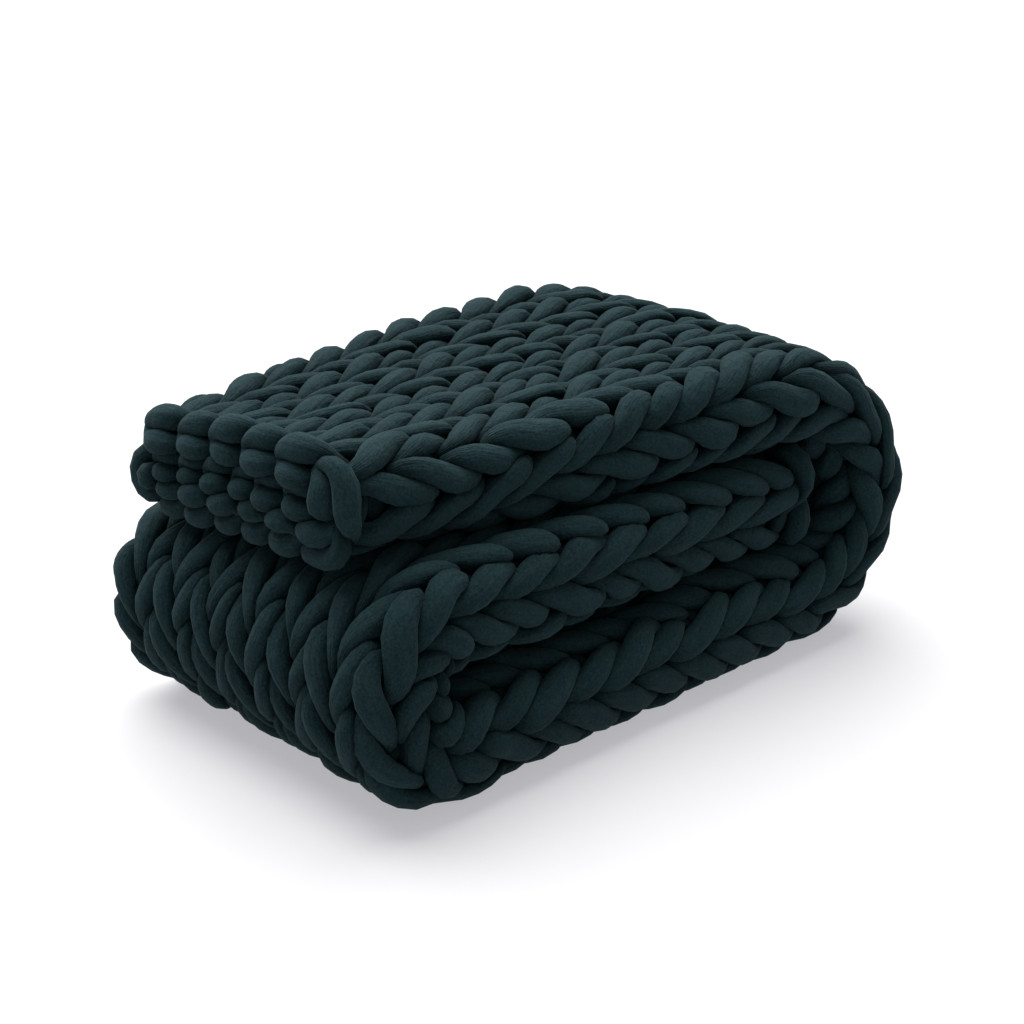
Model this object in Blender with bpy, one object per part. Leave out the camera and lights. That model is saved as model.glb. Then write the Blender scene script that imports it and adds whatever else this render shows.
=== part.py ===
"""A chunky hand-knit weighted blanket, folded in three across its width and then in three along its length.

The blanket is one thick sheet. A place on it is given in stitches: wales count across the width, from the
free edge of the top layer, and courses count along the length, from the cast-on edge. The section across
the width is folded into three layers, and that section then runs along the folded length. Frame: +Z up,
Y along the pile, the cast-on edge at -Y, the long folded side at +X, origin under the middle of the pile.
"""

import math
from collections import namedtuple

import bmesh
import bpy
import numpy as np

NAME = "blanket"
COLOUR = (0.020, 0.045, 0.048, 1.0)
ROUGHNESS = 0.85

# The knit: stitches over the whole blanket, and the raised form of each stitch's two legs.
WALES = 19
COURSES = 39
LEG_RISE = 0.0070
LEG_SLANT = 0.75
SLANT_FADE = 1.5
EDGE_LOBE = 0.16
EDGE_BULGE = 0.6
EDGE_THICKNESS = 0.85
BAND = 0.43

# Across the width, in wales: where the near fold and the far fold begin and end.
NEAR_FOLD = (5.55, 7.45)
FAR_FOLD = (12.2, 13.2)
FOLD_SQUARED = 0.24
TOP_EDGE_INSET = 0.010

# Along the length: each run of the folded strip, with the turn that it makes towards its inner side.
Run = namedtuple("Run", "name courses length turn")
START_Y, START_Z, START_SLOPE = -0.305, 0.276, -2.1
RUNS = (
    Run("top", 10.5, 0.535, 0.0),
    Run("large bend", 6.0, 0.3158, 177.9),
    Run("bottom", 9.0, 0.461, 0.0),
    Run("small bend", 5.5, 0.1955, 182.2),
    Run("middle", 8.0, 0.455, 0.0),
)

# The strip's two sides, the height of one layer, and how many wales the near fold has drifted along them.
Station = namedtuple("Station", "course near far layer drift")
STATIONS = (
    Station(0.0, 0.118, -0.187, 0.0330, -0.60),
    Station(2.5, 0.135, -0.194, 0.0325, -0.48),
    Station(6.2, 0.150, -0.199, 0.0325, 0.12),
    Station(10.5, 0.172, -0.195, 0.0330, 0.50),
    Station(13.5, 0.193, -0.192, 0.0345, 0.50),
    Station(16.5, 0.195, -0.196, 0.0376, 0.50),
    Station(21.0, 0.195, -0.199, 0.0378, 0.46),
    Station(25.5, 0.198, -0.199, 0.0376, 0.40),
    Station(28.3, 0.194, -0.199, 0.0350, 0.22),
    Station(31.5, 0.186, -0.196, 0.0335, 0.04),
    Station(35.0, 0.179, -0.192, 0.0335, -0.02),
    Station(39.0, 0.170, -0.186, 0.0330, -0.28),
)

# The pile is pressed lower at these places: the share of the height lost, and how far that reaches.
Dip = namedtuple("Dip", "x y depth reach_x reach_y")
DIPS = (
    Dip(-0.24, -0.36, 0.155, 0.22, 0.26),
    Dip(0.20, 0.42, 0.03, 0.20, 0.16),
    Dip(-0.22, 0.42, 0.07, 0.18, 0.16),
    Dip(-0.02, -0.02, 0.02, 0.12, 0.16),
)
# The small bend is round underneath: it lifts off the ground by this much on its far and its near side.
FAR_LIFT, NEAR_LIFT = 0.010, 0.001
LIFT_FAR_X, LIFT_NEAR_X = -0.1, 0.2
LIFT_FROM, LIFT_TO = -0.22, -0.36
# The underside is flat inside an oval and turns up a little outside it, where the sides and bends begin.
OVAL_X, OVAL_Y, OVAL_REACH_X, OVAL_REACH_Y = -0.015, -0.020, 0.185, 0.215
RIM_LIFT, RIM_FROM, RIM_TO = 0.0022, 0.88, 1.25
# The weight of the pile squashes both bends near the ground: the share of the height lost, and where.
SQUASH, SQUASH_REACH, SQUASH_FROM, SQUASH_TO = 0.34, 0.055, 0.20, 0.33

# Wale lines across one stitch (a share of the wale) and the rise there halfway along a leg.
LegLine = namedtuple("LegLine", "share rise")
LEG_LINES = (
    LegLine(0.0, -0.45),
    LegLine(0.12, 0.9),
    LegLine(0.38, 1.0),
    LegLine(0.5, -0.45),
    LegLine(0.62, 1.0),
    LegLine(0.88, 0.9),
)
VALLEY_RISE = -0.75

# Wale lines where no stitch shows: on the outer face, then on the inner face, apart from its near fold.
PLAIN_TOP = (0.0, 0.7, 1.4, 2.1, 2.8, 3.5, 4.2, 4.9)
PLAIN_UNDER = (8.0, 9.4, 10.7)
PLAIN_TUCKED = (14.0, 15.5, 17.0, 18.2)
INNER_TUCKED = (19.0, 17.0, 15.2, 13.3, 12.7, 12.1, 10.7, 9.3)
INNER_FOLD = (7.45, 6.8, 6.2, 5.55)
INNER_TOP = (3.7, 1.8, 0.0)
SAME_LINE = 0.01

# The courses where the strip's outer face can be seen, and how far round the folds the stitches show.
TOP_SHOWS = ((0.0, 17.0), (25.0, 32.5))
NEAR_SHOWS_TO = 8
FAR_SHOWS = (12, 13)
PLAIN_CLEARANCE = 0.5
PAST_FOLD_START = 0.9
FOLD_HIDDEN, FOLD_OPEN = 0.15, 0.8
TURN_OVER = WALES + 0.5
INNER_START = WALES + 1


def eased(value, low, high):
    """0 below low, 1 above high, with a soft change between them."""
    share = min(max((value - low) / (high - low), 0.0), 1.0)
    return share * share * (3.0 - 2.0 * share)


def station(course):
    """The near side, the far side, the layer height and the near fold's drift at a course."""
    courses = [row.course for row in STATIONS]
    columns = zip(*STATIONS)
    next(columns)
    return [np.interp(course, courses, column) for column in columns]


def strip_place(course):
    """The y and z of the folded strip's middle at a course, and the direction of its outer side."""
    y, z, heading = START_Y, START_Z, math.radians(START_SLOPE)
    left = course
    for run in RUNS:
        share = min(left / run.courses, 1.0) if run is not RUNS[-1] else left / run.courses
        length, turn = run.length * share, math.radians(run.turn) * share
        if turn:
            radius = length / turn
            y += radius * (math.sin(turn - heading) + math.sin(heading))
            z += radius * (math.cos(turn - heading) - math.cos(heading))
            heading -= turn
        else:
            y += length * math.cos(heading)
            z += length * math.sin(heading)
        left -= run.courses
        if left <= 0.0:
            break
    return y, z, -math.sin(heading), math.cos(heading)


def section_place(wale, near, far, layer, drift):
    """The x and height of the knit's middle surface at a wale, and its outward direction there."""
    band = BAND * layer
    fold_start, fold_end = NEAR_FOLD[0] + drift, NEAR_FOLD[1] + drift
    near_centre = near - layer - band
    far_centre = far + layer / 2.0 + band
    if wale < fold_start:
        start = far + TOP_EDGE_INSET
        return start + (near_centre - start) * wale / fold_start, layer, 0.0, 1.0
    if wale < fold_end:
        angle = math.pi * (wale - fold_start) / (fold_end - fold_start)
        out_x, out_q = math.sin(angle), math.cos(angle)
        radius = layer * (1.0 + FOLD_SQUARED * math.sin(2.0 * angle) ** 2)
        return near_centre + radius * out_x, radius * out_q, out_x, out_q
    if wale < FAR_FOLD[0]:
        share = (wale - fold_end) / (FAR_FOLD[0] - fold_end)
        return near_centre + (far_centre - near_centre) * share, -layer, 0.0, -1.0
    if wale < FAR_FOLD[1]:
        angle = math.pi * (wale - FAR_FOLD[0]) / (FAR_FOLD[1] - FAR_FOLD[0])
        out_x, out_q = -math.sin(angle), -math.cos(angle)
        return far_centre + layer / 2.0 * out_x, -layer / 2.0 + layer / 2.0 * out_q, out_x, out_q
    share = (wale - FAR_FOLD[1]) / (WALES - FAR_FOLD[1])
    return far_centre + (near_centre - far_centre) * share, 0.0, 0.0, 1.0


def top_shows(course):
    return any(first <= course <= last for first, last in TOP_SHOWS)


def shown(wale, course):
    """How far the stitches stand out at a place: 1 where they show, 0 where another layer lies on them."""
    fold_start = NEAR_FOLD[0] + station(course)[-1]
    near_angle = math.pi * (wale - fold_start) / (NEAR_FOLD[1] - NEAR_FOLD[0])
    far_angle = math.pi * (wale - FAR_FOLD[0]) / (FAR_FOLD[1] - FAR_FOLD[0])
    turned = [math.sin(angle) for angle in (near_angle, far_angle) if 0.0 < angle < math.pi]
    if wale < fold_start + PAST_FOLD_START and top_shows(course):
        return 1.0
    return max((eased(share, FOLD_HIDDEN, FOLD_OPEN) for share in turned), default=0.0)


def outer_lines(course):
    """The wale lines that the outer face has at a course: close where stitches show, and few elsewhere."""
    first_near = 0 if top_shows(course) else int(NEAR_FOLD[0] + station(course)[-1])
    lines = [line for line in PLAIN_TOP if line < first_near - PLAIN_CLEARANCE]
    lines += [wale + leg.share for wale in range(first_near, NEAR_SHOWS_TO) for leg in LEG_LINES]
    lines += PLAIN_UNDER
    lines += [wale + leg.share for wale in FAR_SHOWS for leg in LEG_LINES]
    return lines + list(PLAIN_TUCKED) + [float(WALES)]


def ring_lines(course):
    """Places around the whole section: the outer face, the free edge, the inner face and the other edge."""
    drift = station(course)[-1]
    inner = [*INNER_TUCKED, *[wale + drift for wale in INNER_FOLD], *INNER_TOP]
    inner = [INNER_START + WALES - wale for wale in inner]
    return outer_lines(course) + [TURN_OVER] + inner + [INNER_START + TURN_OVER]


def leg_rise(wale, half_course):
    """The rise of the stitch's surface at a wale line: legs stand up on odd half courses, valleys on even ones."""
    if half_course % 2 == 0:
        return VALLEY_RISE
    share = wale % 1.0
    return next(leg.rise for leg in LEG_LINES if abs(leg.share - share) < SAME_LINE)


def place(line, half_course):
    """The point on the folded blanket's surface at a ring line and a row."""
    course = half_course / 2.0
    outer = line <= WALES
    if outer:
        wale, side = line, 1.0
    elif line < INNER_START:
        wale, side = float(WALES), 0.0
    elif line <= INNER_START + WALES:
        wale, side = INNER_START + WALES - line, -1.0
    else:
        wale, side = 0.0, 0.0
    showing = shown(wale, course) if outer else 0.0
    to_end = min(course, COURSES - course)
    across_leg = 2.0 * abs(wale % 1.0 - 0.5) if showing else 1.0
    slant = LEG_SLANT * min(to_end / SLANT_FADE, 1.0) if course <= COURSES - SLANT_FADE else 0.0
    slanted = course + slant * across_leg
    if to_end == 0.0:
        lobe = EDGE_LOBE * math.cos(2.0 * math.pi * (wale - 0.5))
        slanted += lobe if course else -lobe
    near, far, layer, drift = station(min(max(slanted, 0.0), COURSES))
    x, height, out_x, out_q = section_place(wale, near, far, layer, drift)
    band = BAND * layer * (EDGE_THICKNESS if to_end == 0.0 else 1.0)
    rise = side * band
    if showing and to_end > 0.0:
        rise += LEG_RISE * showing * leg_rise(wale, half_course)
    if side == 0.0:
        x += band * EDGE_BULGE * (1.0 if wale else -1.0)
    x += rise * out_x
    height += rise * out_q
    y, z, out_y, out_z = strip_place(slanted)
    return settled(x, y + height * out_y, z + height * out_z)


def settled(x, y, z):
    """The point after the pile has sunk where it is pressed, with its lowest face flat on the ground."""
    kept = 1.0
    for dip in DIPS:
        away = ((x - dip.x) / dip.reach_x) ** 2 + ((y - dip.y) / dip.reach_y) ** 2
        kept -= dip.depth * math.exp(-away)
    lift = FAR_LIFT + (NEAR_LIFT - FAR_LIFT) * eased(x, LIFT_FAR_X, LIFT_NEAR_X)
    lift *= eased(-y, -LIFT_FROM, -LIFT_TO)
    outwards = math.hypot((x - OVAL_X) / OVAL_REACH_X, (y - OVAL_Y) / OVAL_REACH_Y)
    lift += RIM_LIFT * eased(outwards, RIM_FROM, RIM_TO)
    z = max(z, 0.0) * kept + lift
    squash = SQUASH * eased(abs(y), SQUASH_FROM, SQUASH_TO) * math.exp(-((z / SQUASH_REACH) ** 2))
    return x, y, z * (1.0 - squash)


def first_steps(first, second, i, j):
    """Whether the next triangle between two rings takes its new point from the first one."""
    if i == len(first) - 1 or j == len(second) - 1:
        return j == len(second) - 1
    (line_a, next_a), (line_b, next_b) = first[i + 1], second[j + 1]
    if abs(line_a - line_b) > SAME_LINE:
        return line_a < line_b
    return (next_a.co - second[j][1].co).length < (next_b.co - first[i][1].co).length


def zipped(first, second):
    """Triangles between two closed rings of (line, vertex), whatever number of points each has."""
    turn = 2 * INNER_START
    first = first + [(first[0][0] + turn, first[0][1])]
    second = second + [(second[0][0] + turn, second[0][1])]
    i = j = 0
    while i < len(first) - 1 or j < len(second) - 1:
        if first_steps(first, second, i, j):
            yield first[i][1], first[i + 1][1], second[j][1]
            i += 1
        else:
            yield first[i][1], second[j + 1][1], second[j][1]
            j += 1


def capped(ring):
    """Triangles that close the end of the strip, between the outer face's line and the inner face's line."""
    outer = [(line, vertex) for line, vertex in ring if line <= TURN_OVER]
    inner = [(INNER_START + WALES - line, vertex) for line, vertex in ring if line > TURN_OVER][::-1]
    i = j = 0
    while i < len(outer) - 1 or j < len(inner) - 1:
        if first_steps(outer, inner, i, j):
            yield outer[i][1], inner[j][1], outer[i + 1][1]
            i += 1
        else:
            yield outer[i][1], inner[j][1], inner[j + 1][1]
            j += 1


def blanket_mesh():
    mesh = bmesh.new()
    rings = []
    for half_course in range(2 * COURSES + 1):
        lines = ring_lines(half_course / 2.0)
        rings.append([(line, mesh.verts.new(place(line, half_course))) for line in lines])
    for first, second in zip(rings, rings[1:]):
        for corners in zipped(first, second):
            mesh.faces.new(corners)
    for corners in capped(rings[0]):
        mesh.faces.new(corners)
    for corners in capped(rings[-1]):
        mesh.faces.new(corners[::-1])
    bmesh.ops.recalc_face_normals(mesh, faces=mesh.faces)
    for axis in (0, 1):
        reach = [vertex.co[axis] for vertex in mesh.verts]
        middle = (min(reach) + max(reach)) / 2.0
        for vertex in mesh.verts:
            vertex.co[axis] -= middle
    return mesh


def fabric():
    material = bpy.data.materials.new("dark green cotton")
    material.use_nodes = True
    shader = material.node_tree.nodes["Principled BSDF"]
    shader.inputs["Base Color"].default_value = COLOUR
    shader.inputs["Roughness"].default_value = ROUGHNESS
    return material


def main():
    for item in list(bpy.data.objects):
        bpy.data.objects.remove(item, do_unlink=True)
    parts = bpy.data.collections.new("weighted blanket")
    bpy.context.scene.collection.children.link(parts)
    mesh = blanket_mesh()
    data = bpy.data.meshes.new(NAME)
    mesh.to_mesh(data)
    mesh.free()
    data.shade_smooth()
    data.materials.append(fabric())
    parts.objects.link(bpy.data.objects.new(NAME, data))


main()
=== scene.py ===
"""The look of the chunky hand-knit weighted blanket, folded in three across its width and again along it."""

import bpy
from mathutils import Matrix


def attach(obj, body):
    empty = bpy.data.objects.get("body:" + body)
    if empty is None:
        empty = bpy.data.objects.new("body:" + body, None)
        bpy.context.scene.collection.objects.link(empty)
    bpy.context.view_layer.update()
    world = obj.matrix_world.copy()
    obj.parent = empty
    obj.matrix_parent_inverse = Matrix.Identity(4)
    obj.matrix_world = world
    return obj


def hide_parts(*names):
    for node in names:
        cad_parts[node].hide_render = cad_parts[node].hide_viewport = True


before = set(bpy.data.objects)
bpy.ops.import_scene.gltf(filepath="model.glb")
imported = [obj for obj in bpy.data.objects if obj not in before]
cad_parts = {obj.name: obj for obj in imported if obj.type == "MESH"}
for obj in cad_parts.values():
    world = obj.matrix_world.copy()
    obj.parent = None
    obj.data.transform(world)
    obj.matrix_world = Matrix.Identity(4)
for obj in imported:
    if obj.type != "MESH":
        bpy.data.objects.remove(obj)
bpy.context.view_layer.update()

import math
from collections import namedtuple

import bmesh
import bpy
import numpy as np
from mathutils import Vector
from mathutils.kdtree import KDTree

# ---------------------------------------------------------------------------
# The knit. The real blanket is one fat tube of cotton jersey with a soft, heavy filling. It is hand-knit in
# stocking stitch, with a chain along its first and its last row. The fabric is folded in three across its
# width, and the long strip that this gives is folded in three along its length.
# ---------------------------------------------------------------------------

# Across the width, in stitches: the wide fold on the near side, and the tight inner fold on the far side. The
# free side edge lies in by EDGE_INSET. HALF_BAND is half the knit's thickness, as a share of the spacing of its
# layers, and SQUARED is how square the near fold is.
STITCHES, ROWS = 19, 39
SIDE_FOLD_START, SIDE_FOLD_END = 5.55, 7.45
INNER_FOLD_START, INNER_FOLD_END = 12.2, 13.2
EDGE_INSET, HALF_BAND, SQUARED = 0.010, 0.43, 0.24

# Along the length, from the free end on top to the end inside the pile, in metres and degrees.
START_Y, START_Z, START_SLOPE = -0.305, 0.276, -2.1
Run = namedtuple("Run", "name rows length turn")
RUNS = (
    Run("top", 10.5, 0.535, 0.0),
    Run("large bend", 6.0, 0.3158, 177.9),
    Run("bottom", 9.0, 0.461, 0.0),
    Run("small bend", 5.5, 0.1955, 182.2),
    Run("middle", 8.0, 0.455, 0.0),
)

# The strip's two sides, the spacing of its three layers, and how far the stitches drift over its near fold.
Station = namedtuple("Station", "row near far layer drift")
STATIONS = (
    Station(0.0, 0.118, -0.187, 0.0330, -0.60),
    Station(2.5, 0.135, -0.194, 0.0325, -0.48),
    Station(6.2, 0.150, -0.199, 0.0325, 0.12),
    Station(10.5, 0.172, -0.195, 0.0330, 0.50),
    Station(13.5, 0.193, -0.192, 0.0345, 0.50),
    Station(16.5, 0.195, -0.196, 0.0376, 0.50),
    Station(21.0, 0.195, -0.199, 0.0378, 0.46),
    Station(25.5, 0.198, -0.199, 0.0376, 0.40),
    Station(28.3, 0.194, -0.199, 0.0350, 0.22),
    Station(31.5, 0.186, -0.196, 0.0335, 0.04),
    Station(35.0, 0.179, -0.192, 0.0335, -0.02),
    Station(39.0, 0.170, -0.186, 0.0330, -0.28),
)

# Where the pile sags, how its small bend's end is lifted, how the floor shapes its underside, and its middle.
Dip = namedtuple("Dip", "x y depth reach_x reach_y")
DIPS = (
    Dip(-0.24, -0.36, 0.155, 0.22, 0.26),
    Dip(0.20, 0.42, 0.03, 0.20, 0.16),
    Dip(-0.22, 0.42, 0.07, 0.18, 0.16),
    Dip(-0.02, -0.02, 0.02, 0.12, 0.16),
)
FAR_LIFT, NEAR_LIFT, LIFT_FAR_X, LIFT_NEAR_X = 0.010, 0.001, -0.1, 0.2
LIFT_FROM, LIFT_TO = 0.22, 0.36
OVAL_X, OVAL_Y, OVAL_REACH_X, OVAL_REACH_Y = -0.015, -0.020, 0.185, 0.215
RIM_LIFT, RIM_FROM, RIM_TO = 0.0022, 0.88, 1.25
SQUASH, SQUASH_REACH, SQUASH_FROM, SQUASH_TO = 0.34, 0.055, 0.20, 0.33
MIDDLE_X, MIDDLE_Y = -0.0004, 0.0152


def eased(value, low, high):
    """0 below low, 1 above high, with a soft change between them."""
    share = np.clip((value - low) / (high - low), 0.0, 1.0)
    return share * share * (3.0 - 2.0 * share)


def strip_at(row):
    """The y and z of the folded strip's middle at a row, and the direction of its outer side."""
    y = np.full(len(row), START_Y)
    z = np.full(len(row), START_Z)
    heading = np.full(len(row), math.radians(START_SLOPE))
    left = row.copy()
    for run in RUNS:
        share = left / run.rows
        if run is not RUNS[0]:
            share = np.maximum(share, 0.0)
        if run is not RUNS[-1]:
            share = np.minimum(share, 1.0)
        if run.turn:
            bend_radius = run.length / math.radians(run.turn)
            turned = math.radians(run.turn) * share
            y += bend_radius * (np.sin(turned - heading) + np.sin(heading))
            z += bend_radius * (np.cos(turned - heading) - np.cos(heading))
            heading -= turned
        else:
            y += run.length * share * np.cos(heading)
            z += run.length * share * np.sin(heading)
        left -= run.rows
    return y, z, -np.sin(heading), np.cos(heading)


def section_at(stitch, near, far, layer, drift):
    """The x and height of the fabric's middle at a place across its width, and the way its face looks."""
    band = HALF_BAND * layer
    near_middle = near - layer - band
    far_middle = far + layer / 2.0 + band
    start = far + EDGE_INSET
    fold_start, fold_end = SIDE_FOLD_START + drift, SIDE_FOLD_END + drift
    near_angle = math.pi * (stitch - fold_start) / (fold_end - fold_start)
    far_angle = math.pi * (stitch - INNER_FOLD_START) / (INNER_FOLD_END - INNER_FOLD_START)
    fold_radius = layer * (1.0 + SQUARED * np.sin(2.0 * near_angle) ** 2)
    under = (stitch - fold_end) / (INNER_FOLD_START - fold_end)
    inside = (stitch - INNER_FOLD_END) / (STITCHES - INNER_FOLD_END)
    zones = [stitch < fold_start, stitch < fold_end, stitch < INNER_FOLD_START, stitch < INNER_FOLD_END]
    flat = np.zeros(len(stitch))
    x = np.select(
        zones,
        [
            start + (near_middle - start) * stitch / fold_start,
            near_middle + fold_radius * np.sin(near_angle),
            near_middle + (far_middle - near_middle) * under,
            far_middle - layer / 2.0 * np.sin(far_angle),
        ],
        far_middle + (near_middle - far_middle) * inside,
    )
    height = np.select(
        zones,
        [layer, fold_radius * np.cos(near_angle), -layer, -layer / 2.0 - layer / 2.0 * np.cos(far_angle)],
        flat,
    )
    face_x = np.select(zones, [flat, np.sin(near_angle), flat, -np.sin(far_angle)], flat)
    face_up = np.select(zones, [flat + 1.0, np.cos(near_angle), flat - 1.0, -np.cos(far_angle)], flat + 1.0)
    return x, height, face_x, face_up


def folded(stitch, row, rise):
    """Places in the pile for places in the knit: across in stitches, along in rows, and rise in metres."""
    rows, *columns = zip(*STATIONS)
    near, far, layer, drift = [np.interp(row, rows, column) for column in columns]
    x, height, face_x, face_up = section_at(stitch, near, far, layer, drift)
    x = x + rise * face_x
    height = height + rise * face_up
    y, z, out_y, out_z = strip_at(row)
    y, z = y + height * out_y, z + height * out_z
    kept = np.ones(len(x))
    for dip in DIPS:
        kept -= dip.depth * np.exp(-(((x - dip.x) / dip.reach_x) ** 2) - ((y - dip.y) / dip.reach_y) ** 2)
    lift = FAR_LIFT + (NEAR_LIFT - FAR_LIFT) * eased(x, LIFT_FAR_X, LIFT_NEAR_X)
    lift = lift * eased(-y, LIFT_FROM, LIFT_TO)
    outwards = np.hypot((x - OVAL_X) / OVAL_REACH_X, (y - OVAL_Y) / OVAL_REACH_Y)
    lift = lift + RIM_LIFT * eased(outwards, RIM_FROM, RIM_TO)
    z = z * kept + lift
    z = z * (1.0 - SQUASH * eased(np.abs(y), SQUASH_FROM, SQUASH_TO) * np.exp(-((z / SQUASH_REACH) ** 2)))
    return np.stack([x - MIDDLE_X, y - MIDDLE_Y, z], axis=1)


# One stitch, in STEPS places: the yarn comes up behind, leans out in two plump legs on the face, and is
# pinched at its head and its foot. The rise is above the middle of the fabric. The turn runs from 0 to 1 along
# a stitch, and its second half mirrors the first.
STEPS = 33
FIRST_ROW, LAST_ROW = 0.45, 38.70
CAST_ON_ROW, BIND_OFF_ROW, BEHIND_CHAIN = 0.10, 38.9, 0.12
SWAY, REACH = 0.36, 1.04
Leg = namedtuple("Leg", "turn rise radius")
LEG = (
    Leg(0.00, -0.0085, 0.0118),
    Leg(0.06, -0.0070, 0.0103),
    Leg(0.11, -0.0030, 0.0100),
    Leg(0.17, 0.0010, 0.0126),
    Leg(0.25, 0.0044, 0.0154),
    Leg(0.33, 0.0054, 0.0158),
    Leg(0.38, 0.0034, 0.0146),
    Leg(0.43, -0.0030, 0.0120),
    Leg(0.50, -0.0085, 0.0118),
)
PINCHED, PLUMP = 0.0095, 0.0156

# The turn at a side edge, from one row to the next.
EDGE_TURN, EDGE_STEPS = 0.03, 12
EDGE_RISE, EDGE_RADIUS = 0.0040, 0.0145


def knit_rows():
    """The one yarn that goes back and forth through all the rows, with a turn at each side edge."""
    share = np.arange(STEPS * STITCHES + 1) / STEPS
    turn = share % 1.0
    turns, rises, radii = zip(*LEG)
    rise, thick = [np.interp(np.minimum(turn, 1.0 - turn), turns, column) for column in (rises, radii)]
    across = share + SWAY * np.sin(4.0 * math.pi * turn)
    along = 0.5 - REACH * np.cos(2.0 * math.pi * turn)
    edge = np.arange(1, EDGE_STEPS) / EDGE_STEPS
    bulge = np.sin(math.pi * edge)
    pitch = (LAST_ROW - FIRST_ROW) / ROWS
    first_place, last_place = CAST_ON_ROW + BEHIND_CHAIN, BIND_OFF_ROW - BEHIND_CHAIN
    stretches = []
    for row in range(ROWS):
        order = slice(None, None, -1) if row % 2 else slice(None)
        places = np.clip(FIRST_ROW + pitch * (row + along), first_place, last_place)
        stretches.append(np.stack([across, places, rise, thick])[:, order])
        if row < ROWS - 1:
            side, out = (0.0, -1.0) if row % 2 else (float(STITCHES), 1.0)
            stretches.append(
                np.stack(
                    [
                        side + out * EDGE_TURN * bulge,
                        np.maximum(FIRST_ROW + pitch * (row + 0.5 - REACH + edge), first_place),
                        LEG[0].rise + (EDGE_RISE - LEG[0].rise) * bulge,
                        LEG[0].radius + (EDGE_RADIUS - LEG[0].radius) * bulge,
                    ]
                )
            )
    ends = np.cumsum([stretch.shape[1] for stretch in stretches])
    stitch, row, rise, thick = np.concatenate(stretches, axis=1)
    soft = np.array([1.0, 2.0, 1.0]) / 4.0
    for column in (rise, thick):
        column[1:-1] = np.convolve(column, soft, "valid")
    return stitch, row, rise, thick, ends


# The chain of the cast-on edge, and that of the bind-off edge: each link is a loop that lies along the edge.
Link = namedtuple("Link", "along across out radius plump")
LINKS = (
    Link(0.00, 0.003, -0.007, 0.0085, 0.0),
    Link(0.25, 0.0115, 0.004, 0.0128, 0.8),
    Link(0.65, 0.0125, 0.005, 0.0146, 1.0),
    Link(1.02, 0.0080, 0.004, 0.0112, 0.5),
    Link(1.15, 0.000, 0.000, 0.0100, 0.2),
    Link(1.02, -0.0085, 0.004, 0.0112, 0.5),
    Link(0.65, -0.0115, 0.011, 0.0146, 1.0),
    Link(0.25, -0.0105, 0.008, 0.0130, 0.8),
    Link(0.00, -0.003, -0.009, 0.0085, 0.0),
    Link(0.30, 0.000, -0.018, 0.0080, 0.0),
    Link(0.75, 0.000, -0.018, 0.0080, 0.0),
)
LINK_SHIFT, LINK_STEPS = -0.25, 3
FOLD_PLUMP, FOLD_MIDDLE, FOLD_REACH = 0.10, 5.9, 0.6
EDGE_ROW_LENGTH = 0.051


def smooth_through(rows, steps):
    """A smooth curve through rows of numbers, with this many places from each one to the next."""
    before = np.concatenate([rows[:1], rows[:-1]])[:-1]
    after = np.concatenate([rows[1:], rows[-1:]])[1:]
    here, there = rows[:-1], rows[1:]
    share = (np.arange(steps) / steps)[None, :, None]
    bend_in, bend_out = (there - before) / 2.0, (after - here) / 2.0
    cubic = 2.0 * here - 2.0 * there + bend_in + bend_out
    square = -3.0 * here + 3.0 * there - 2.0 * bend_in - bend_out
    curve = ((cubic[:, None] * share + square[:, None]) * share + bend_in[:, None]) * share + here[:, None]
    return np.concatenate([curve.reshape(-1, rows.shape[1]), rows[-1:]])


def edge_chain(middle_row, outwards):
    """A chain along an edge: its stitch, row, rise and plumpness, and its radius, larger at the near fold."""
    rows = np.array(
        [[start + LINK_SHIFT + link.along, *link[1:]] for start in range(STITCHES) for link in LINKS], float
    )
    along, across, out, thick, plump = smooth_through(rows, LINK_STEPS).T
    swollen = 1.0 + FOLD_PLUMP * np.exp(-(((STITCHES - along - FOLD_MIDDLE) / FOLD_REACH) ** 2))
    thick, across = thick * swollen, across * swollen
    return np.stack([STITCHES - along, middle_row + outwards * out / EDGE_ROW_LENGTH, across, plump]), thick


# All strands, as one table of places: the long yarn first, then the two edge chains.
stitch, row, rise, yarn_radius, stretch_ends = knit_rows()
plumpness = (yarn_radius - PINCHED) / (PLUMP - PINCHED)
cast_on, cast_on_radius = edge_chain(CAST_ON_ROW, -1.0)
bind_off, bind_off_radius = edge_chain(BIND_OFF_ROW, 1.0)
table = np.concatenate([np.stack([stitch, row, rise, plumpness]), cast_on, bind_off], axis=1)
radius = np.concatenate([yarn_radius, cast_on_radius, bind_off_radius])
LONG_YARN, CAST_ON_CHAIN, BIND_OFF_CHAIN = 0, 1, 2
strand = np.repeat(
    [LONG_YARN, CAST_ON_CHAIN, BIND_OFF_CHAIN], [len(stitch), cast_on.shape[1], bind_off.shape[1]]
)
count = len(radius)

# Hand-knit stitches are never quite alike. Each kind of unevenness has its amount, and a reach in places.
Uneven = namedtuple("Uneven", "amount reach")
UNEVEN_ACROSS, UNEVEN_ALONG = Uneven(0.022, 8), Uneven(0.028, 8)
UNEVEN_RISE, UNEVEN_THICKNESS = Uneven(0.0009, 7), Uneven(0.045, 7)
rng = np.random.default_rng(19)


def wandering(kind):
    """Seeded unevenness along the strands, about -1 to 1 times its amount."""
    window = np.exp(-0.5 * (np.arange(-3 * kind.reach, 3 * kind.reach + 1) / kind.reach) ** 2)
    draws = rng.normal(size=count + 2 * len(window))
    noise = np.convolve(draws, window / math.sqrt((window**2).sum()), "same")
    return kind.amount * noise[len(window) : len(window) + count]


table[0] += wandering(UNEVEN_ACROSS)
table[1] += wandering(UNEVEN_ALONG)
table[2] += wandering(UNEVEN_RISE)
radius *= 1.0 + wandering(UNEVEN_THICKNESS)

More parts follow.
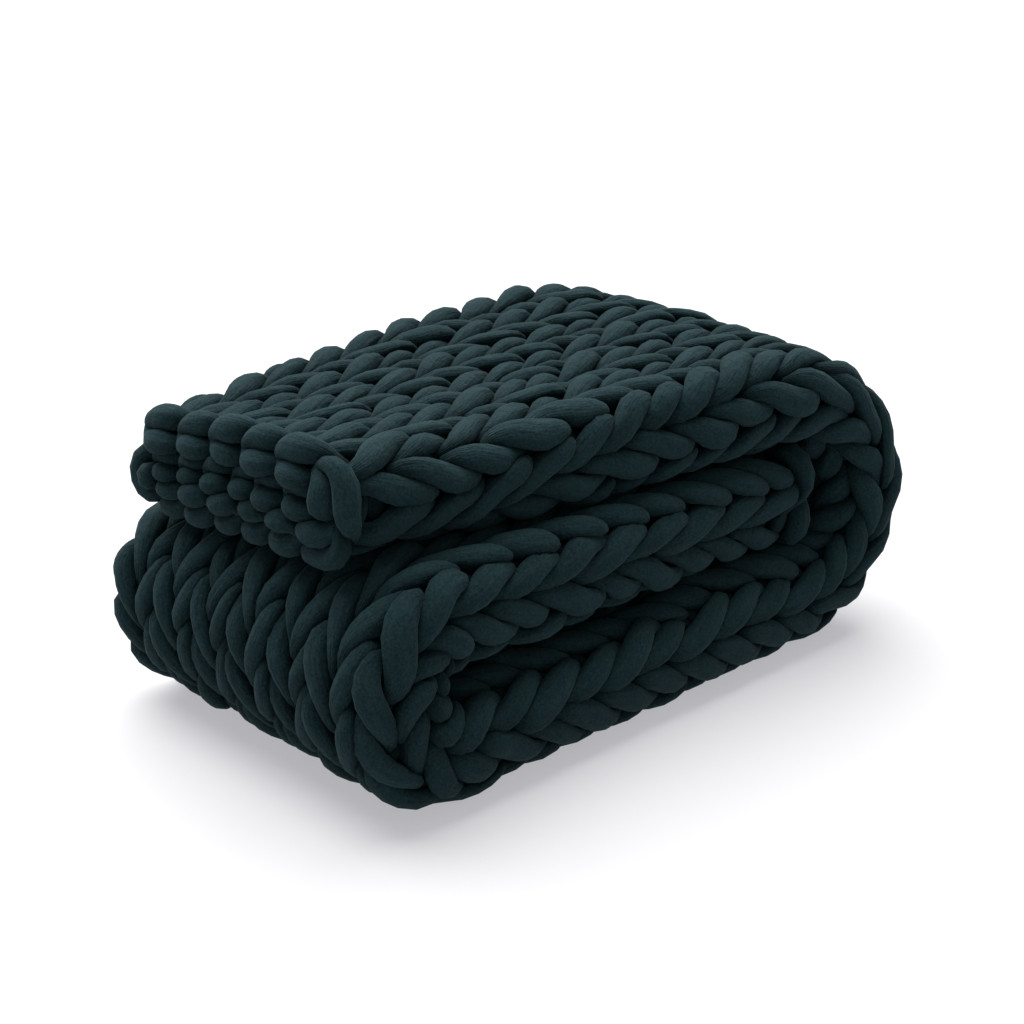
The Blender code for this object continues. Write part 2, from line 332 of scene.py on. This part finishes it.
FACE_STEP = 0.001
home = folded(table[0], table[1], table[2])
face = folded(table[0], table[1], table[2] + FACE_STEP) - home
face /= np.linalg.norm(face, axis=1, keepdims=True)

# Where a fold stretches the yarn, it gets thinner.
STITCH_WIDTH, ROW_LENGTH = 0.0585, 0.0503
MOST_STRETCH, THINNING, STRETCH_REACH = 1.5, -0.75, 9


def spacing(places):
    """How far apart the places of a strand are."""
    return np.linalg.norm(np.gradient(places, axis=0), axis=1)


laid_flat = np.stack([table[0] * STITCH_WIDTH, table[1] * ROW_LENGTH, table[2]], axis=1)
stretch = np.convolve(spacing(home) / spacing(laid_flat), np.ones(STRETCH_REACH) / STRETCH_REACH, "same")
radius *= np.clip(stretch, 1.0, MOST_STRETCH) ** THINNING

# The yarns push each other apart where they press, as far as the folds and the floor let them. They may come
# as close as the share NEAREST of their two radii. Each round mends the share PUSH of what is over that, and
# the folds pull back the share HOLD of each shift.
NEAREST, PUSH, HOLD, ROUNDS = 0.50, 0.35, 0.12, 30
PRESS_MARGIN, PRESS_APART = 0.004, 9
MOST_MOVE, LOWEST = 0.002, 0.62
TINY = 1e-9


def touching(places, radii, margin, apart):
    """Pairs of places whose yarn may touch, leaving out places that follow each other on one strand."""
    tree = KDTree(len(places))
    for index, place in enumerate(places):
        tree.insert(place, index)
    tree.balance()
    widest = radii.max()
    first, second = [], []
    for index, place in enumerate(places):
        close_by = tree.find_range(place, radii[index] + widest + margin)
        found = [other for _, other, _ in close_by if other > index]
        second += found
        first += [index] * len(found)
    first, second = np.array(first), np.array(second)
    away = np.linalg.norm(places[first] - places[second], axis=1)
    follows = (strand[first] == strand[second]) & (second - first <= apart)
    keep = ~follows & (away < radii[first] + radii[second] + margin)
    return first[keep], second[keep]


points = home.copy()
first, second = touching(points, radius, PRESS_MARGIN, PRESS_APART)
smoothing = np.array([1.0, 2.0, 3.0, 2.0, 1.0]) / 9.0
for _ in range(ROUNDS):
    between = points[second] - points[first]
    away = np.linalg.norm(between, axis=1) + TINY
    overlap = np.maximum(NEAREST * (radius[first] + radius[second]) - away, 0.0)
    moved = np.empty((count, 3))
    for axis, push in enumerate((between * (overlap / away * PUSH * 0.5)[:, None]).T):
        pushed = np.bincount(second, push, count) - np.bincount(first, push, count)
        moved[:, axis] = np.convolve(pushed, smoothing, "same")
    distance = np.linalg.norm(moved, axis=1, keepdims=True)
    moved *= np.minimum(1.0, MOST_MOVE / np.maximum(distance, TINY))
    points += moved + HOLD * (home - points)
    points[:, 2] = np.maximum(points[:, 2], LOWEST * radius)

# The skin. Where two yarns press on each other they share a flat face, and the floor flattens the lowest. The
# long yarn lies oval in the fabric, FLAT times as thick and WIDE times as broad as a round one. However hard
# it is pressed, it keeps the share LEAST of that.
AROUND = 18
CONTACT_GAP, CONTACT_APART, ABOVE_FLOOR = 0.0004, 6, 0.0006
LEAST, FAR_OFF = 0.25, 9.0
FLAT, WIDE = 0.74, 1.13
SOFTENED, BULGE_LEFT, CONTACT_SHADE_GAIN = 4, 1.14, 2.5
LEAST_FACING, SAME_POINT, WELD = 1e-6, 1e-6, 1e-7

# For each touching pair, from both sides: the way to the other yarn, and how far off their shared face lies.
first, second = touching(points, radius, 0.0, CONTACT_APART)
both = np.concatenate([first, second])
other = np.concatenate([second, first])
order = np.argsort(both, kind="stable")
both, other = both[order], other[order]
between = points[other] - points[both]
away = np.linalg.norm(between, axis=1)
between /= away[:, None]
plane = (away**2 + radius[both] ** 2 - radius[other] ** 2) / (2.0 * away) - CONTACT_GAP
yarn_length = np.concatenate([[0.0], np.cumsum(np.linalg.norm(np.diff(points, axis=0), axis=1))])


def pressed(index, offsets):
    """How far out the yarn's skin reaches at each place and way round, as a share of its free form."""
    share = np.ones(offsets.shape[:2])
    rows = slice(np.searchsorted(both, index[0]), np.searchsorted(both, index[-1] + 1))
    here = both[rows] - index[0]
    for way in range(offsets.shape[1]):
        facing = (offsets[here, way] * between[rows]).sum(axis=1)
        limit = np.where(facing > LEAST_FACING, plane[rows] / np.maximum(facing, LEAST_FACING), FAR_OFF)
        least = np.full(len(index), FAR_OFF)
        np.minimum.at(least, here, limit)
        share[:, way] = least
    return np.clip(share, LEAST, 1.0)


def softened(share):
    """The pressed form, smoothed round the yarn and along it, but not far past where it is pressed."""
    eased_share = share.copy()
    for _ in range(SOFTENED):
        wide = np.roll(eased_share, 1, 1) + 2.0 * eased_share + np.roll(eased_share, -1, 1)
        padded = np.concatenate([wide[:1], wide, wide[-1:]])
        eased_share = (padded[:-2] + 2.0 * padded[1:-1] + padded[2:]) / 16.0
    return np.minimum(share * BULGE_LEFT, eased_share)


def tube(name, parts):
    """A mesh of round tubes along runs of places, with caps. The caps' points come first, then the rings'."""
    curve = bpy.data.curves.new(name, "CURVE")
    curve.dimensions = "3D"
    curve.bevel_depth = 1.0
    curve.bevel_resolution = (AROUND - 4) // 2
    curve.use_fill_caps = True
    for start, stop in parts:
        spline = curve.splines.new("POLY")
        spline.points.add(stop - start - 1)
        spline.points.foreach_set("co", np.column_stack([points[start:stop], np.ones(stop - start)]).ravel())
        spline.points.foreach_set("radius", radius[start:stop].astype(np.float32))
    guide = bpy.data.objects.new(name, curve)
    bpy.context.scene.collection.objects.link(guide)
    mesh = bpy.data.meshes.new_from_object(guide.evaluated_get(bpy.context.evaluated_depsgraph_get()))
    bpy.data.objects.remove(guide)
    bpy.data.curves.remove(curve)
    mesh.name = name
    return mesh


# The jersey: matt dark green cotton with fine ribs along the tube, pleats where it is pinched, small creases,
# a little nap, and softly uneven dye. Painted shade darkens it where yarns touch and where the yarn is pinched,
# and its plump crests are painted lighter. Bump heights are in metres.
# The lighter green serves both the worn, mottled cotton and the painted light on the plump crests.
DARK_GREEN, WORN_AND_LIT_GREEN = (0.0027, 0.0096, 0.0115, 1.0), (0.0108, 0.0262, 0.0298, 1.0)
RIBS_AROUND, RIB_WANDER, RIB_BUMP, PLEAT_BUMP = 30.0, 2.2, 0.00005, 0.00034
FUZZ_SIZE, FUZZ_BUMP = 700.0, 0.00030
DENT_SIZE, DENT_BUMP = 75.0, 0.0018
CREASES_ALONG, CREASES_ROUND, CREASE_BUMP = 30.0, 2.2, 0.0024
# The weave and creases give random mottling; the plump factor paints the pinched ends darker and the crests
# lighter, as painted shade.
WEAVE_SIZE, WEAVE_WORN, CREASE_WORN, PINCH_PAINTED_SHADE = 420.0, 1.90, 0.70, 0.20
# Painted shade: how much darker the jersey is painted where yarns touch.
ALL_DARKER, CONTACT_PAINTED_SHADE = 0.80, 0.85
LEAST_ROUGH, FUZZ_ROUGHER = 0.80, 0.16

jersey = bpy.data.materials.new("green jersey")
jersey.use_nodes = True
nodes, links = jersey.node_tree.nodes, jersey.node_tree.links
cloth = nodes["Principled BSDF"]
cloth.inputs["Specular IOR Level"].default_value = 0.06
cloth.inputs["Sheen Weight"].default_value = 0.034
cloth.inputs["Sheen Roughness"].default_value = 0.45
cloth.inputs["Sheen Tint"].default_value = (0.45, 0.80, 0.86, 1.0)


def math_node(operation, one, two):
    """The output of a Math node. Each of its two inputs is a number or another node's output."""
    node = nodes.new("ShaderNodeMath")
    node.operation = operation
    for socket, value in zip(node.inputs, (one, two)):
        if isinstance(value, float):
            socket.default_value = value
        else:
            links.new(value, socket)
    return node.outputs[0]


def noise_node(vector, scale, detail):
    """The output of a Noise Texture node."""
    node = nodes.new("ShaderNodeTexNoise")
    links.new(vector, node.inputs["Vector"])
    node.inputs["Scale"].default_value = scale
    node.inputs["Detail"].default_value = detail
    return node.outputs["Fac"]


def painted(name):
    """The output of a node that reads one of the mesh's own attributes."""
    node = nodes.new("ShaderNodeAttribute")
    node.attribute_name = name
    return node.outputs["Fac"]


uv_map = nodes.new("ShaderNodeUVMap")
uv_map.uv_map = "UVMap"
split = nodes.new("ShaderNodeSeparateXYZ")
links.new(uv_map.outputs["UV"], split.inputs["Vector"])
along_yarn, round_yarn = split.outputs["X"], split.outputs["Y"]
place = nodes.new("ShaderNodeTexCoord").outputs["Object"]
# The pressed attribute is painted shade where yarns touch; plump also paints the pinched ends darker and the
# crests lighter.
plump_here, contact_shade_here = painted("plump"), painted("pressed")
dents = noise_node(place, DENT_SIZE, 2.0)
fuzz = noise_node(place, FUZZ_SIZE, 2.0)
weave = noise_node(place, WEAVE_SIZE, 4.0)

wander = math_node("MULTIPLY", dents, RIB_WANDER)
rib_turns = math_node("ADD", math_node("MULTIPLY", round_yarn, RIBS_AROUND), wander)
ribs = math_node("SINE", math_node("MULTIPLY", rib_turns, 2.0 * math.pi), 0.0)
angle = math_node("MULTIPLY", round_yarn, 2.0 * math.pi)
on_yarn = nodes.new("ShaderNodeCombineXYZ")
links.new(math_node("MULTIPLY", along_yarn, CREASES_ALONG), on_yarn.inputs["X"])
links.new(math_node("MULTIPLY", math_node("COSINE", angle, 0.0), CREASES_ROUND), on_yarn.inputs["Y"])
links.new(math_node("MULTIPLY", math_node("SINE", angle, 0.0), CREASES_ROUND), on_yarn.inputs["Z"])
creases = noise_node(on_yarn.outputs["Vector"], 1.0, 4.0)

pinch = math_node("SUBTRACT", 1.0, plump_here)
pleats = math_node("MULTIPLY", math_node("MULTIPLY", pinch, pinch), PLEAT_BUMP)
rib_height = math_node("ADD", pleats, RIB_BUMP)
height = math_node(
    "ADD",
    math_node("ADD", math_node("MULTIPLY", ribs, rib_height), math_node("MULTIPLY", fuzz, FUZZ_BUMP)),
    math_node("ADD", math_node("MULTIPLY", dents, DENT_BUMP), math_node("MULTIPLY", creases, CREASE_BUMP)),
)
bump = nodes.new("ShaderNodeBump")
bump.inputs["Distance"].default_value = 1.0
bump.inputs["Strength"].default_value = 1.0
links.new(height, bump.inputs["Height"])
links.new(bump.outputs["Normal"], cloth.inputs["Normal"])

# Painted shade: darker at the pinched ends, where the yarn tucks under its neighbours, and where yarns press on
# each other; lighter on the plump crests.
shade = math_node("SUBTRACT", math_node("MULTIPLY", plump_here, PINCH_PAINTED_SHADE), ALL_DARKER)
shade = math_node("SUBTRACT", shade, math_node("MULTIPLY", contact_shade_here, CONTACT_PAINTED_SHADE))
worn_weave = math_node("MULTIPLY", weave, WEAVE_WORN)
mottle = math_node("ADD", math_node("MULTIPLY", creases, CREASE_WORN), worn_weave)
colour = nodes.new("ShaderNodeMix")
colour.data_type = "RGBA"
links.new(math_node("ADD", shade, mottle), colour.inputs["Factor"])
colour.inputs["A"].default_value = DARK_GREEN
colour.inputs["B"].default_value = WORN_AND_LIT_GREEN
links.new(colour.outputs["Result"], cloth.inputs["Base Color"])
rough = math_node("ADD", math_node("MULTIPLY", fuzz, FUZZ_ROUGHER), LEAST_ROUGH)
links.new(rough, cloth.inputs["Roughness"])

# The yarn is cut at row ends into six pieces. The first and the last each take the chain at their edge.
Piece = namedtuple("Piece", "name first_row last_row chain")
PIECES = (
    Piece("knit_top", 0, 5, CAST_ON_CHAIN),
    Piece("knit_top_end", 6, 10, None),
    Piece("knit_large_bend", 11, 16, None),
    Piece("knit_bottom", 17, 24, None),
    Piece("knit_small_bend", 25, 32, None),
    Piece("knit_middle", 33, 38, BIND_OFF_CHAIN),
)
for piece in PIECES:
    start = 0 if piece.first_row == 0 else stretch_ends[2 * piece.first_row - 1]
    stop = stretch_ends[2 * piece.last_row] if piece.last_row < ROWS - 1 else stretch_ends[-1]
    parts = [(start, stop)]
    if piece.chain is not None:
        here = np.flatnonzero(strand == piece.chain)
        parts.append((here[0], here[-1] + 1))
    mesh = tube(piece.name, parts)
    skin = np.empty((len(mesh.vertices), 3), np.float32)
    mesh.vertices.foreach_get("co", skin.ravel())
    skin = skin.astype(float)
    done = 2 * AROUND * len(parts)
    caps = skin[:done].copy()

    # What the jersey reads: the length along the yarn, how plump it is, and where it is pressed, which it
    # paints as shade.
    ring_of = np.zeros(len(skin), int)
    ring_of[done:] = np.repeat(np.concatenate([np.arange(begin, end) for begin, end in parts]), AROUND)
    corners = np.empty(len(mesh.loops), np.int32)
    mesh.loops.foreach_get("vertex_index", corners)
    uv = np.empty((len(corners), 2), np.float32)
    mesh.uv_layers[0].data.foreach_get("uv", uv.ravel())
    uv[:, 0] = yarn_length[ring_of[corners]]
    mesh.uv_layers[0].data.foreach_set("uv", uv.ravel())
    plump_of = mesh.attributes.new("plump", "FLOAT", "POINT")
    plump_of.data.foreach_set("value", table[3][ring_of].astype(np.float32))
    contact_shade = np.zeros(len(skin), np.float32)

    for begin, end in parts:
        index = np.arange(begin, end)
        rings = skin[done : done + len(index) * AROUND].reshape(-1, AROUND, 3)
        offsets = rings - points[index][:, None]
        if strand[begin] == LONG_YARN:
            outward = face[index][:, None]
            out = (offsets * outward).sum(axis=2, keepdims=True)
            offsets = WIDE * offsets - (WIDE - FLAT) * out * outward
        share = softened(pressed(index, offsets))
        # Painted shade: the harder a way round is pressed against another yarn, the darker the jersey paints
        # it.
        contact_shade[done : done + share.size] = np.clip((1.0 - share) * CONTACT_SHADE_GAIN, 0.0, 1.0).ravel()
        shaped = points[index][:, None] + offsets * share[:, :, None]
        shaped[:, :, 2] = np.maximum(shaped[:, :, 2], ABOVE_FLOOR)
        for end_ring in (0, -1):
            for cap, cap_point in enumerate(caps):
                near = np.linalg.norm(rings[end_ring] - cap_point, axis=1)
                if near.min() < SAME_POINT:
                    skin[cap] = shaped[end_ring, near.argmin()]
        skin[done : done + share.size] = shaped.reshape(-1, 3)
        done += share.size

    mesh.vertices.foreach_set("co", skin.astype(np.float32).ravel())
    # The attribute pressed carries that painted shade where yarns touch.
    mesh.attributes.new("pressed", "FLOAT", "POINT").data.foreach_set("value", contact_shade)
    mesh.update()
    welded = bmesh.new()
    welded.from_mesh(mesh)
    bmesh.ops.remove_doubles(welded, verts=welded.verts, dist=WELD)
    welded.to_mesh(mesh)
    welded.free()
    mesh.shade_smooth()
    mesh.materials.append(jersey)
    knit = bpy.data.objects.new(piece.name, mesh)
    bpy.context.scene.collection.objects.link(knit)
    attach(knit, "root")
    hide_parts("blanket")

# ---------------------------------------------------------------------------
# The floor: a wide sheet of white paper, as in a photographer's studio. It glows a little, so that it stays
# white, and the blanket's shadow on it is soft and faintly blue.
# ---------------------------------------------------------------------------
FLOOR_HALF = 12.0
sheet = bmesh.new()
bmesh.ops.create_grid(sheet, x_segments=1, y_segments=1, size=FLOOR_HALF)
floor_data = bpy.data.meshes.new("floor")
sheet.to_mesh(floor_data)
sheet.free()
floor = bpy.data.objects.new("floor", floor_data)
bpy.context.scene.collection.objects.link(floor)
paper = bpy.data.materials.new("white paper")
paper.use_nodes = True
paper_shader = paper.node_tree.nodes["Principled BSDF"]
paper_shader.inputs["Base Color"].default_value = (0.28, 0.28, 0.28, 1.0)
paper_shader.inputs["Emission Color"].default_value = (0.95, 0.95, 1.0, 1.0)
paper_shader.inputs["Emission Strength"].default_value = 0.44
paper_shader.inputs["Roughness"].default_value = 0.9
floor_data.materials.append(paper)

# ---------------------------------------------------------------------------
# The light and the camera: white walls all round, and one very large soft lamp above and behind the blanket.
# The camera's lens and place come from fitting the blanket's outline to the photograph.
# ---------------------------------------------------------------------------
world = bpy.data.worlds.new("studio")
bpy.context.scene.world = world
world.use_nodes = True
world.node_tree.nodes["Background"].inputs["Color"].default_value = (1.0, 1.0, 1.0, 1.0)
world.node_tree.nodes["Background"].inputs["Strength"].default_value = 0.46
bpy.context.scene.view_settings.view_transform = "Standard"

LAMP_FROM, LAMP_STRENGTH, LAMP_SPREAD = Vector((-0.52, 0.20, 1.0)), 7.9, 70.0
overhead = bpy.data.lights.new("overhead", "SUN")
overhead.energy = LAMP_STRENGTH
overhead.angle = math.radians(LAMP_SPREAD)
lamp = bpy.data.objects.new("overhead", overhead)
lamp.rotation_euler = LAMP_FROM.to_track_quat("Z", "Y").to_euler()
bpy.context.scene.collection.objects.link(lamp)

LENS, FILM_WIDTH, SHIFT_RIGHT, SHIFT_UP = 80.19, 36.0, -7.0 / 1024.0, -1.74 / 1024.0
AZIMUTH, ELEVATION, DISTANCE = math.radians(47.097), math.radians(22.528), 2.220
AIM = Vector((0.0004, -0.0152, 0.16))
camera_data = bpy.data.cameras.new("camera")
camera_data.lens = LENS
camera_data.sensor_width = FILM_WIDTH
camera_data.shift_x, camera_data.shift_y = SHIFT_RIGHT, SHIFT_UP
camera = bpy.data.objects.new("camera", camera_data)
back = Vector(
    (math.sin(AZIMUTH) * math.cos(ELEVATION), -math.cos(AZIMUTH) * math.cos(ELEVATION), math.sin(ELEVATION))
)
camera.location = AIM + DISTANCE * back
camera.rotation_euler = back.to_track_quat("Z", "Y").to_euler()
bpy.context.scene.collection.objects.link(camera)
bpy.context.scene.camera = camera
